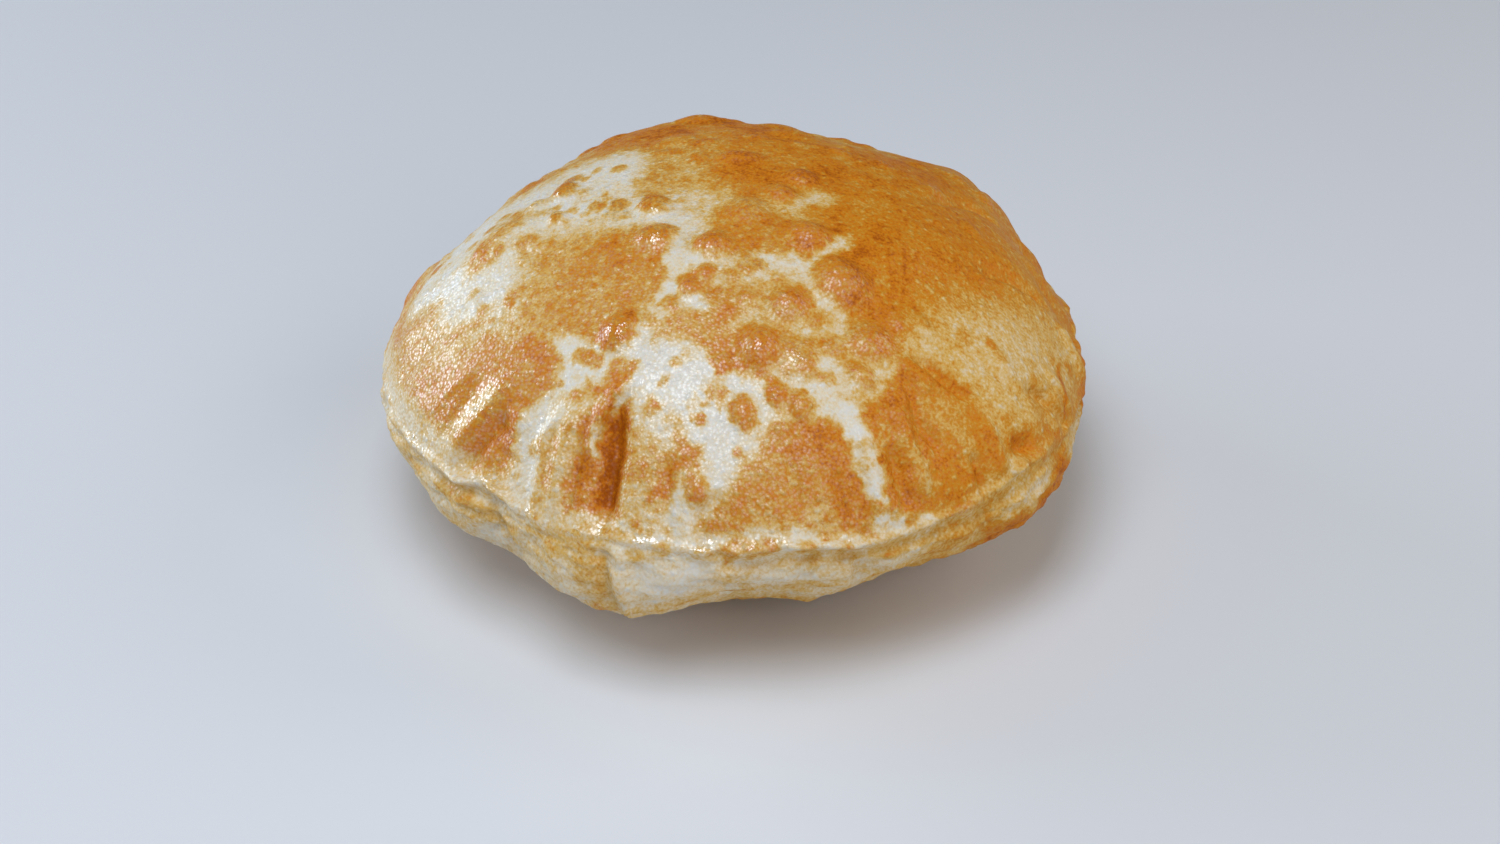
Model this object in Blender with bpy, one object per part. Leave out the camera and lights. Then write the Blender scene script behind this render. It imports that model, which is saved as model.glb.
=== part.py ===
"""A puffed poori: one deep-fried disc of dough, ballooned into a pillow that stands on a small flat spot.

The solid is a smooth pillow with everything else raised or sunk on it: broad lobes, the pleats and
pockets that run down to the rim, the crimped seam where the top sheet meets the bottom sheet, and blisters.
A place on the skin is given by two angles in degrees: its bearing (0 front, 90 right, 180 back, -90 left)
and its drop (0 at the crown, 90 at the widest line, 180 at the middle of the base).
"""
import bmesh
import bpy
import numpy as np

# ---------------------------------------------------------------- driving dimensions, in millimetres
GIRTH_RADIUS = 108.0        # half the width at the widest line
GIRTH_HEIGHT = 44.0         # height of the widest line
CROWN_RISE = 62.0           # from the widest line up to the crown
BELLY_DEPTH = 46.0          # from the widest line down; 2 mm of it is cut off flat
SHOULDER = 0.85             # below 1 the top swells out towards its edge
DOME = 1.35                 # above 1 the top falls away sooner from the crown
SEAM_SCALE = 1.35           # millimetres of skin to a degree of drop, near the seam
LIP_HALF_WIDTH = 2.6        # of the crimped lip along the seam
CRIMPS = 31                 # crimps round the whole seam
CRIMP_DEPTH = 0.4           # share of the lip's height that they take or add
INSET_BELOW = 7.0           # from the seam down to where the skin is set in most
INSET_HALF_WIDTH = 5.0
FOLD_ENDS = 0.22            # share of a pleat's length over which it fades at either end
FOLD_LEFT = 0.15            # share of its height that is left at the very end
BLISTER_EDGE = 1.6          # above 1 a blister runs out softly at its edge
WAVES = 14
WAVE_HEIGHT = 0.5           # slow swells of the whole skin
WAVE_LENGTHS = (5.0, 14.0)  # millimetres to a radian of the swell
WELD = 0.2                  # corners nearer than this become one where the base is cut
CELLS = 64                  # cells along a side of the starting cube
TRIANGLES = 10800           # kept after thinning
MM = 0.001

# Broad lobes and hollows: bearing, drop, half-size across, half-size down, rise.
LOBES = [
    (-18, 106, 22, 13, 8.0), (-50, 106, 12, 9, 2.2), (-38, 103, 9, 9, -2.6), (-70, 88, 20, 16, 0.6),
    (-116, 58, 22, 18, -3.8), (-134, 52, 18, 14, -2.2), (-158, 38, 22, 14, 1.4), (129, 58, 17, 15, 5.6),
    (96, 72, 17, 15, -3.6), (70, 90, 14, 12, -0.6), (56, 100, 14, 10, 1.8), (29, 113, 15, 10, -4.2),
    (1, 110, 13, 9, -5.6), (106, 84, 12, 9, 2.2), (113, 60, 8, 9, -2.2), (-62, 62, 24, 22, 1.6),
    (-36, 66, 9, 20, -1.8), (-10, 62, 15, 22, 1.2),
    (13, 62, 18, 20, 1.6), (34, 62, 18, 20, 1.0), (58, 64, 15, 14, 1.2), (-82, 37, 7, 13, 2.2),
    (170, 84, 20, 16, 1.8), (148, 98, 20, 12, -2.0), (-142, 96, 22, 14, 1.8), (-172, 62, 18, 14, 1.4),
    (10, 13, 22, 7, 1.0), (20, 32, 24, 10, -0.8), (-20, 50, 16, 12, 0.8), (150, 36, 20, 14, -1.2),
]

# Pleats, pockets and crests: half-width, rise, then the run of (bearing, drop) down the skin.
FOLDS = [
    (3.2, -4.6, [(-23, 47), (-22, 52), (-20.5, 60), (-20, 70), (-19, 80)]),
    (8.0, -2.6, [(-24, 52), (-22, 64), (-20.5, 80)]),
    (2.6, 1.8, [(-21.5, 44), (-25, 52), (-26, 60), (-25, 68)]),
    (3.6, 1.8, [(-29, 50), (-29.5, 62), (-28.5, 80)]),
    (2.6, 1.3, [(-32, 52), (-34, 60), (-32.5, 70), (-31, 82)]),
    (4.4, -3.0, [(-42, 58), (-44, 70), (-46.5, 80)]),
    (5.0, -1.8, [(-40, 66), (-41, 77)]),
    (3.0, 2.2, [(-46, 50), (-48.5, 64), (-51.5, 78)]),
    (2.8, -1.1, [(-53, 54), (-56, 76)]),
    (3.4, 1.0, [(-60, 48), (-64, 62), (-66, 78)]),
    (2.8, -0.9, [(-69, 56), (-73, 74)]),
    (2.8, -2.2, [(-19.5, 82), (-19, 94), (-18, 108)]),
    (2.8, 2.0, [(-16, 82), (-15.5, 94), (-14.5, 108)]),
    (3.0, -2.2, [(-41, 84), (-38, 95), (-34, 106)]),
    (2.8, -1.3, [(-11, 58), (-9.5, 79)]),
    (2.8, -1.4, [(-2, 64), (-4.5, 80)]),
    (3.0, -2.0, [(40, 42), (44, 51), (46, 58)]),
    (3.8, 1.6, [(36, 42), (39, 51)]),
    (3.0, -1.8, [(35, 46), (34, 56), (36, 66)]),
    (3.4, 1.2, [(30.5, 48), (30.5, 60), (31.5, 73)]),
    (3.0, -1.6, [(26.5, 58), (27, 74)]),
    (3.4, 1.6, [(22, 50), (22.5, 64), (23, 81)]),
    (2.8, -1.9, [(41, 68), (41.5, 81)]),
    (3.0, 1.4, [(46, 60), (46, 77)]),
    (3.6, -2.6, [(49, 70), (54, 74)]),
    (3.0, -2.2, [(59, 60), (64, 69), (66.5, 82)]),
    (3.0, 1.5, [(69, 62), (71, 81)]),
    (3.4, -2.4, [(76, 38), (83, 47), (86, 60)]),
    (3.6, -2.2, [(100, 28), (111, 42), (108, 58)]),
    (2.8, -1.8, [(19, 88), (19, 104)]),
]

# Blisters: bearing, drop, width, length down the skin, rise.
BLISTERS = [
    (34, 25.5, 22, 24, 3.2), (37, 15, 16, 18, 2.0), (-13, 15, 13, 17, 1.8), (-41, 16, 15, 17, 2.0),
    (-65, 11.5, 16, 14, 1.8), (65, 5, 14, 14, 1.6), (105, 7.5, 16, 14, 1.6), (180, 6.5, 20, 12, 1.3),
    (10, 6, 18, 19, 1.5), (-97, 25, 16, 12, 1.7), (-80, 26, 11, 10, 1.2), (-93, 30, 10, 11, 1.0),
    (-28, 36, 15, 19, 2.5), (5.5, 35.5, 15, 20, 2.7), (15, 27, 13, 15, 2.0), (-12, 21, 9, 10, 1.3),
    (-15, 24.5, 9, 10, 1.6), (14, 38, 17, 18, 1.2), (32, 38, 18, 18, 1.6), (26.5, 44, 10, 12, 1.2),
    (8, 45, 9, 10, 1.0), (12.5, 47.5, 9, 13, 1.3), (1.5, 48, 10, 15, 1.4), (-5.5, 64.5, 9, 12, 1.3),
    (65, 72, 16, 14, 1.4), (44, 37, 14, 16, 1.2), (160, 22, 20, 15, 1.5), (-150, 18, 18, 15, 1.5),
]

# The seam: bearing, drop, how far its crimped lip stands out and how far the skin sits in under it.
SEAM = [
    (-180, 82, 0.7, 0.8), (-160, 79, 1.1, 1.0), (-140, 81, 0.4, 0.5), (-120, 84, 0.9, 0.7),
    (-100, 81, 0.5, 0.4), (-85, 82, 0.3, 0.3), (-72, 80, 0.4, 0.3), (-60, 83, 0.4, 0.3),
    (-53, 81, 0.8, 0.4), (-47, 81.5, 1.4, 0.7), (-40, 77.5, 1.6, 0.8), (-35, 80, 1.2, 0.5),
    (-28, 82, 0.4, 0.2), (-20, 80, 0.2, 0.0), (-10, 79.5, 0.8, 0.5), (0, 80, 1.5, 1.0),
    (8, 78.5, 2.2, 1.4), (14, 80, 2.2, 1.6), (17, 81.5, 2.6, 1.6), (20, 82, 1.0, 1.4),
    (30, 80.5, 0.7, 1.2), (40, 79.5, 0.8, 1.1), (50, 76.5, 1.0, 1.2), (60, 77.5, 0.7, 0.9),
    (66, 81, 0.5, 0.6), (80, 83, 0.5, 0.5), (100, 80, 0.8, 0.8), (120, 83, 0.4, 0.5),
    (140, 80, 1.0, 1.0), (160, 84, 0.6, 0.6), (180, 82, 0.7, 0.8),
]

# Small blisters all over the top, placed at random within these widths, lengths and rises.
SMALL_BLISTERS = 60
SMALL_WIDTHS, SMALL_LENGTHS, SMALL_RISES = (7, 13), (8, 14), (0.4, 0.9)

# Pleats gathered along the rim round the back, between two bearings, from their top down to the seam.
GATHERS = 24
GATHERS_FROM, GATHERS_TO = 84, 276
GATHER_TOPS, GATHER_END = (46, 62), 82
GATHER_RISES, GATHER_HALF_WIDTHS = (0.6, 2.0), (2.8, 4.6)
SEED = 7


def skin(bearing, drop):
    """Points of the smooth pillow in mm; bearing and drop are arrays in radians."""
    fall, reach = np.cos(drop), np.sin(drop)
    top = fall >= 0
    radius = GIRTH_RADIUS * np.where(top, reach ** SHOULDER, reach)
    height = np.where(top, CROWN_RISE * np.abs(fall) ** DOME, BELLY_DEPTH * fall)
    return np.stack([radius * np.sin(bearing), -radius * np.cos(bearing), GIRTH_HEIGHT + height], -1)


def skin_axes(bearing, drop):
    """Unit vectors across, down and out of the smooth pillow."""
    step = 1e-3
    above, below = skin(bearing, np.maximum(drop - step, 1e-6)), skin(bearing, np.minimum(drop + step, np.pi))
    down = below - above
    down /= np.linalg.norm(down, axis=-1, keepdims=True)
    across = np.stack([np.cos(bearing), np.sin(bearing), np.zeros_like(bearing)], -1)
    return across, down, np.cross(down, across)


def spot(points, bearing, drop, half_across, half_down):
    """Squared distance of every point from one place, in units of the half-sizes given."""
    place = np.radians(bearing), np.radians(drop)
    across, down, out = skin_axes(*place)
    away = points - skin(*place)
    return ((away @ across) / half_across) ** 2 + ((away @ down) / half_down) ** 2 \
        + ((away @ out) / max(half_across, half_down)) ** 2


def fold(points, half_width, run):
    """A groove or crest along a run of places: 1 on its line, fading sideways and at both ends."""
    bearings, drops = np.radians(np.array(run, float)).T
    stops = skin(bearings, drops)
    lengths = np.linalg.norm(np.diff(stops, axis=0), axis=1)
    starts = np.concatenate([[0.0], np.cumsum(lengths)])
    nearest = np.full(len(points), np.inf)
    along = np.zeros(len(points))
    for start, a, b, length in zip(starts, stops[:-1], stops[1:], lengths):
        part = np.clip((points - a) @ (b - a) / length ** 2, 0, 1)
        distance = np.linalg.norm(points - a - part[:, None] * (b - a), axis=1)
        closer = distance < nearest
        nearest[closer] = distance[closer]
        along[closer] = (start + part * length)[closer] / starts[-1]
    ends = np.clip(np.minimum(along, 1 - along) / FOLD_ENDS, 0, 1)
    return np.exp(-(nearest / half_width) ** 2) * (FOLD_LEFT + (1 - FOLD_LEFT) * ends)


def seam_relief(bearing, drop):
    """The crimped lip, and the skin set in just under it."""
    bearings, drops, lips, insets = np.array(SEAM, float).T
    degrees = np.degrees(bearing)
    below = (np.degrees(drop) - np.interp(degrees, bearings, drops)) * SEAM_SCALE
    crimp = 1 + CRIMP_DEPTH * np.sin(CRIMPS * bearing + 3 * np.sin(7 * bearing))
    lip = np.interp(degrees, bearings, lips) * crimp * np.exp(-(below / LIP_HALF_WIDTH) ** 2)
    inset = np.interp(degrees, bearings, insets) * np.exp(-((below - INSET_BELOW) / INSET_HALF_WIDTH) ** 2)
    return lip - inset


def waves(points, rng):
    """Slow random swells, about a millimetre, from a handful of crossing sine waves."""
    total = np.zeros(len(points))
    for _ in range(WAVES):
        direction = rng.normal(size=3)
        direction /= np.linalg.norm(direction)
        total += np.sin(points @ direction / rng.uniform(*WAVE_LENGTHS) + rng.uniform(0, 2 * np.pi))
    return total / np.sqrt(WAVES)


def relief(points, bearing, drop):
    """How far the real skin stands out from the smooth pillow at every point, in mm."""
    rng = np.random.default_rng(SEED)
    rise = seam_relief(bearing, drop) + WAVE_HEIGHT * waves(points, rng)
    for lobe_bearing, lobe_drop, across, down, height in LOBES:
        rise += height * np.exp(-0.5 * spot(points, lobe_bearing, lobe_drop, across, down))
    for half_width, height, run in FOLDS:
        rise += height * fold(points, half_width, run)
    small = [(rng.uniform(-180, 180), np.degrees(np.arccos(rng.uniform(-0.1, 1))), rng.uniform(*SMALL_WIDTHS),
              rng.uniform(*SMALL_LENGTHS), rng.uniform(*SMALL_RISES)) for _ in range(SMALL_BLISTERS)]
    for blister_bearing, blister_drop, width, length, height in BLISTERS + small:
        inside = 1 - spot(points, blister_bearing, blister_drop, width / 2, length / 2)
        rise += height * np.clip(inside, 0, 1) ** BLISTER_EDGE
    for index in range(GATHERS):
        at = GATHERS_FROM + (index + rng.uniform(-0.3, 0.3)) * (GATHERS_TO - GATHERS_FROM) / GATHERS
        at = at if at <= 180 else at - 360
        top = rng.uniform(*GATHER_TOPS)
        middle = (top + GATHER_END) / 2
        run = [(at + rng.uniform(-3, 3), top), (at, middle), (at + rng.uniform(-1, 1), GATHER_END)]
        height = rng.uniform(*GATHER_RISES) * (-1) ** index
        rise += height * fold(points, rng.uniform(*GATHER_HALF_WIDTHS), run)
    return rise


def poori_mesh():
    """The whole skin as an even grid of quads wrapped round from a cube."""
    bm = bmesh.new()
    bmesh.ops.create_cube(bm, size=2)
    bmesh.ops.subdivide_edges(bm, edges=bm.edges[:], cuts=CELLS - 1, use_grid_fill=True)
    mesh = bpy.data.meshes.new("poori")
    bm.to_mesh(mesh)
    bm.free()
    coords = np.empty(len(mesh.vertices) * 3)
    mesh.vertices.foreach_get("co", coords)
    ray = np.tan(coords.reshape(-1, 3) * np.pi / 4)
    ray /= np.linalg.norm(ray, axis=1, keepdims=True)
    drop = np.arccos(np.clip(ray[:, 2], -1, 1))
    bearing = np.arctan2(ray[:, 0], -ray[:, 1])
    points = skin(bearing, drop)
    out = skin_axes(bearing, drop)[2]
    points += out * relief(points, bearing, drop)[:, None]
    mesh.vertices.foreach_set("co", (points * MM).ravel())
    mesh.update()
    return mesh


def thinned(mesh, triangles):
    """The same mesh with about the number of triangles asked for."""
    carrier = bpy.data.objects.new("carrier", mesh)
    bpy.context.scene.collection.objects.link(carrier)
    thin = carrier.modifiers.new("thin", "DECIMATE")
    thin.ratio = triangles / (2 * len(mesh.polygons))
    result = bpy.data.meshes.new_from_object(carrier.evaluated_get(bpy.context.evaluated_depsgraph_get()))
    bpy.data.objects.remove(carrier)
    return result


def rested(mesh):
    """Cut the base flat at z = 0 and centre the outline on the origin."""
    bm = bmesh.new()
    bm.from_mesh(mesh)
    everything = bm.verts[:] + bm.edges[:] + bm.faces[:]
    bmesh.ops.bisect_plane(bm, geom=everything, plane_co=(0, 0, 0), plane_no=(0, 0, -1), clear_outer=True)
    bmesh.ops.remove_doubles(bm, verts=bm.verts[:], dist=WELD * MM)
    rim = [edge for edge in bm.edges if edge.is_boundary]
    bmesh.ops.contextual_create(bm, geom=rim)
    bmesh.ops.triangulate(bm, faces=bm.faces[:])
    bmesh.ops.recalc_face_normals(bm, faces=bm.faces[:])
    places = np.array([vert.co[:] for vert in bm.verts])
    middle = (places.min(0) + places.max(0)) / 2
    bmesh.ops.translate(bm, verts=bm.verts[:], vec=(-middle[0], -middle[1], 0))
    bm.to_mesh(mesh)
    bm.free()
    return mesh


def crust_material():
    """Golden brown and a little glossy."""
    material = bpy.data.materials.new("fried crust")
    material.use_nodes = True
    shader = material.node_tree.nodes["Principled BSDF"]
    shader.inputs["Base Color"].default_value = (0.62, 0.33, 0.11, 1)
    shader.inputs["Roughness"].default_value = 0.42
    return material


for leftover in list(bpy.data.objects):
    bpy.data.objects.remove(leftover)

crust = rested(thinned(poori_mesh(), TRIANGLES))
crust.polygons.foreach_set("use_smooth", [True] * len(crust.polygons))
crust.materials.append(crust_material())
poori = bpy.data.objects.new("poori", crust)
bpy.context.scene.collection.objects.link(poori)
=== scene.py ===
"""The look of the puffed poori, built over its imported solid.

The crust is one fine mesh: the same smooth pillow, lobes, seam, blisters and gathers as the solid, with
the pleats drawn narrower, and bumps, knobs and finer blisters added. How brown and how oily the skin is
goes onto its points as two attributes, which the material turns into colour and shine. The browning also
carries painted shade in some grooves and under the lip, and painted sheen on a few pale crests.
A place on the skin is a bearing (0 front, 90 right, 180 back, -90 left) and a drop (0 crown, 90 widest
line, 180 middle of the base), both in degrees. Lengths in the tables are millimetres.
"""

import bmesh
import bpy
import numpy as np
from mathutils import Matrix, Vector, noise


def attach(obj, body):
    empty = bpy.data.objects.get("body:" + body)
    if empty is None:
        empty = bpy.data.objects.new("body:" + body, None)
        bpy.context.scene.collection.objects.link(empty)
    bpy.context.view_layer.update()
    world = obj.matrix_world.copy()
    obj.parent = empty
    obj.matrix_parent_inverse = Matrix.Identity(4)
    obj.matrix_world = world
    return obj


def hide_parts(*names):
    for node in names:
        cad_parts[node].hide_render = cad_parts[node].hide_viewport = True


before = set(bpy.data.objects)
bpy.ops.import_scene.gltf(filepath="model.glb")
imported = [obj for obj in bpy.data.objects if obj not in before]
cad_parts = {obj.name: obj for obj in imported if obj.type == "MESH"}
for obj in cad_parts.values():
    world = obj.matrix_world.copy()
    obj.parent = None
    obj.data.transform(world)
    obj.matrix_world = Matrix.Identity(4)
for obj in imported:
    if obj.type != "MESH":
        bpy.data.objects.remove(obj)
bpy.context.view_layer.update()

MM = 0.001
SEED = 7                    # the solid's own, so that what both place at random agrees
GIRTH_RADIUS = 108.0        # half the width at the widest line
GIRTH_HEIGHT = 44.0         # height of the widest line
CROWN_RISE = 62.0           # from the widest line up to the crown
BELLY_DEPTH = 46.0          # from the widest line down; 2 mm of it is flattened
SHOULDER = 0.85             # below 1 the top swells out towards its edge
DOME = 1.35                 # above 1 the top falls away sooner from the crown
WAVE_HEIGHT = 0.5           # slow swells of the whole skin
WAVES = 14
WAVE_LENGTHS = (5.0, 14.0)  # millimetres to a radian of the swell
FOLD_ENDS = 0.22            # share of a pleat's length over which it fades at either end
FOLD_LEFT = 0.1             # share of its height that is left at the very end
BLISTER_EDGE = 1.6          # above 1 a blister runs out softly at its edge
BUMP_SCALE = 0.95           # share of a bump's rise that is used, as it stands on a blister of the solid

SEAM_SCALE = 1.35           # millimetres of skin to a degree of drop, near the seam
SEAM_WANDER = 0.9           # how far the seam strays up and down
LIP_HALF_WIDTH = 2.2        # of the crimped lip along the seam
LIP_ROUGHNESS = 0.8         # share of the lip's height that small lumps take or add
CRIMPS, CRIMP_DEPTH = 31, 0.4       # round the whole seam, and the share of the lip's height they take or add
CRIMP_DRIFTS, CRIMP_DRIFT = 7, 3    # times round that the crimps crowd together, and how far, in radians
INSET_BELOW, INSET_HALF_WIDTH = 7, 5    # where the skin is set in under the lip

WALL_START = (0, 3)         # millimetres below the seam where the wall under it begins
WALL_STRETCH = (0.4, 0.4, 1.5)      # makes the wall's lumps wider than they are high
WALL_PUFF = 1.0             # broad swells of the wall, in front only
WALL_LUMPS = 0.6
WALL_BLISTERS = 0.7
WALL_SMUDGES, CREASES_PALER = 0.09, 0.16     # how far they move the browning
CREASES_FRONT, CREASES_BACK = 2.0, 0.9      # depth of the wall's creases

# Close-packed domes over the whole skin: their sizes, and the shares of large and little ones in the
# dotting of the browning and in the relief.
LARGE_DOMES, LITTLE_DOMES, DOT_SIZE, PIMPLE_SIZE = 8.5, 4.2, 3.6, 3.2
DOTTED_LARGE, DOTTED_LITTLE = 0.55, 0.45
PACKED_LARGE, PACKED_LITTLE = 0.6, 0.4
GRAIN = 0.30                # fine unevenness of the whole skin
PACKED_RAW, PACKED_FRIED = 0.04, 0.18       # rise of the close-packed domes, raw and fried
MOTTLE_RISE, MOTTLE_BROWN = 0.36, 0.26      # pimples beside the valley
DOT_RISE, DOT_BROWN, DOT_EDGE = 0.10, 0.34, (0.5, 0.9)
DOTTING_SURE, DOTTING_UNDECIDED = 0.10, 0.46    # how dotted the browning is, least where it is 0 or 1
CALM_WALL, CALM_RIGHT, CALM_LOBE = 0.75, 0.8, 0.7   # how much less dotted these places are
RIGHT_SIDE = (35, 75)       # millimetres to the right of the middle where the calm side begins
SMOOTH_FINE, SMOOTH_PACKED = 0.9, 0.8       # how much lower these blisters and domes are on the left lobe
PATCHES, BROAD_PATCHES = 0.10, 0.04         # unevenness of the browning
FRIED = (0.3, 0.7)          # browning where the skin turns from raw to fried

TOP_BROWN = 0.77            # the top before anything is painted on it
WALL_PALER_FRONT, WALL_PALER_BACK = 0.48, 0.32  # how much paler the wall is
BASE_BROWNER, BASE_START = 0.28, (106, 128)     # the underside, and the drops where it begins
BACK_PATCHES = 0.16         # broad unevenness of the browning on the back
BEHIND = (0.1, -0.5)        # cosines of the bearings where the back begins
# The wall's border, in millimetres below the seam, in front and behind: from, to, and how far it strays.
BORDER_FRONT, BORDER_BACK = (-3, 2, 2), (-7, 7, 5)
MARGIN_BROWN = 0.12         # the pale margin where the lip stands out
MARGIN_LIPS, MARGIN_AT, MARGIN_HALF_WIDTH = (0.8, 2.2), -0.5, 3.0
TOP_BROWNING = 0.92         # share of a bump's browning that is used
EDGE_SOFTNESS = 1.35        # widens the soft edge of every stroke
# How far the paint strays from its strokes: distance, then the size, octaves and seed of its lumps.
SHAKES = [(1.8, 11, 3, 0), (1.4, 3, 2, 3)]
BUMP_PAINT_EDGE, FINE_PAINT_EDGE = (0.7, 1.2), (0.4, 1.6)   # in half-sizes, and in their squares

OIL_LEFT, OIL_RIGHT = 1.3, 0.2      # the left shines and the right is drier
OIL_LIMITS = (0.1, 2)
OIL_ON_BUMPS = 1.0
OIL_ON_LOBE = 0.3
OIL_PATCHES = 0.25
OIL_SLANT, OIL_FADE = 0.35, (-50, 45)       # the shine fades from left to right, sooner at the back
DRY_SPOTS, DRY_BROWNING = 0.75, (0.74, 0.90)    # dark spots are drier
DRY_WALL = 0.5
GLOSSY_WIDTHS = (6, 9)      # bumps below the first width are not glossy

# Fine patterns of the material: scales are cells to a metre, bumps are a strength and a height in metres.
MOTTLE_SCALE, MOTTLE_SHARE = 420, 0.5
SPECKLE_SCALE, SPECKLE_SHARE = 1150, 0.6
PATTERN_LEVEL = 0.55        # about what those two add, taken off again
PIMPLE_SCALE, PIMPLE_REACH, PIMPLE_BUMP = 310, (0.36, 0.08), (0.6, 0.0004)
PIMPLE_BROWNING = -0.15
DOME_SCALE, DOME_BUMP = 950, (0.55, 0.00022)
SHAKE_SCALE, SHAKE = 700, 0.0006    # moves the domes about, so their edges are not straight
DOME_SHINE = (0.62, 0.12), (0.10, 0.9)      # distance from a dome's middle, and the share of oil there
OIL_ROUGHNESS = (1.55, 1.95), (0.42, 0.16)  # amount of oil, and the roughness of its surface

MIDDLE = (-0.25, -1.0)      # the outline's middle, which the solid puts at the origin
CELLS = 128                 # cells along a side of the starting cube
CROWDING = 0.28             # how much finer the mesh is over the top than under the base
FACING = 0.2                # and at the front than at the back

LENS = 65                   # a choice: 50 to 100 mm all fit what is seen of the plate
CAMERA_AT = (0.2, -708.9, 485.5)
CAMERA_TURN, CAMERA_DOWN, CAMERA_ROLL = -0.3665, 33.18, 1.2     # degrees

# Lights: name, place, width, height, watts, colour. All are aimed at one place; lengths are metres.
LIGHTS = [
    ("window", (-1.27, 0.5, 0.42), 0.95, 0.5, 10.5, (0.80, 0.90, 1.0)),
    ("overhead", (-0.2, -0.42, 1.18), 0.6, 0.9, 9.5, (0.88, 0.94, 1.0)),
    ("fill", (0.7, -1.1, 0.7), 1.0, 0.8, 5, (1.0, 0.98, 0.95)),
    ("side", (1.15, 0.25, 0.75), 0.8, 0.8, 4, (1.0, 0.95, 0.88)),
]
LIGHTS_AIM = (0, 0, 0.05)
WORLD_COLOUR, WORLD_STRENGTH = (0.95, 0.96, 1.0), 0.12
FLOOR_COLOUR, FLOOR_ROUGHNESS, FLOOR_SIZE = (0.72, 0.74, 0.79), 0.5, 8

# Colour of the crust from raw to dark brown: level of browning, linear red, green and blue.
CRUST_COLOURS = [
    (0.0, (0.72, 0.68, 0.61)), (0.22, (0.73, 0.61, 0.42)), (0.48, (0.66, 0.41, 0.11)),
    (0.66, (0.58, 0.250, 0.020)), (0.8, (0.60, 0.188, 0.006)), (1.0, (0.38, 0.090, 0.003)),
]

# Broad lobes and hollows: bearing, drop, half-size across, half-size down, rise.
LOBES = [
    (-18, 106, 22, 13, 8.0), (-50, 106, 12, 9, 2.2), (-38, 103, 9, 9, -2.6), (-70, 88, 20, 16, 0.6),
    (-116, 58, 22, 18, -3.8), (-134, 52, 18, 14, -2.2), (-158, 38, 22, 14, 1.4), (129, 58, 17, 15, 5.6),
    (96, 72, 17, 15, -3.6), (70, 90, 14, 12, -0.6), (56, 100, 14, 10, 1.8), (29, 113, 15, 10, -4.2),
    (1, 110, 13, 9, -5.6), (106, 84, 12, 9, 2.2), (113, 60, 8, 9, -2.2), (-62, 62, 24, 22, 1.6),
    (-36, 66, 9, 20, -1.8), (-10, 62, 15, 22, 1.2),
    (13, 62, 18, 20, 1.6), (34, 62, 18, 20, 1.0), (58, 64, 15, 14, 1.2), (-82, 37, 7, 13, 2.2),
    (170, 84, 20, 16, 1.8), (148, 98, 20, 12, -2.0), (-142, 96, 22, 14, 1.8), (-172, 62, 18, 14, 1.4),
    (10, 13, 22, 7, 1.0), (20, 32, 24, 10, -0.8), (-20, 50, 16, 12, 0.8), (150, 36, 20, 14, -1.2),
]

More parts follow.
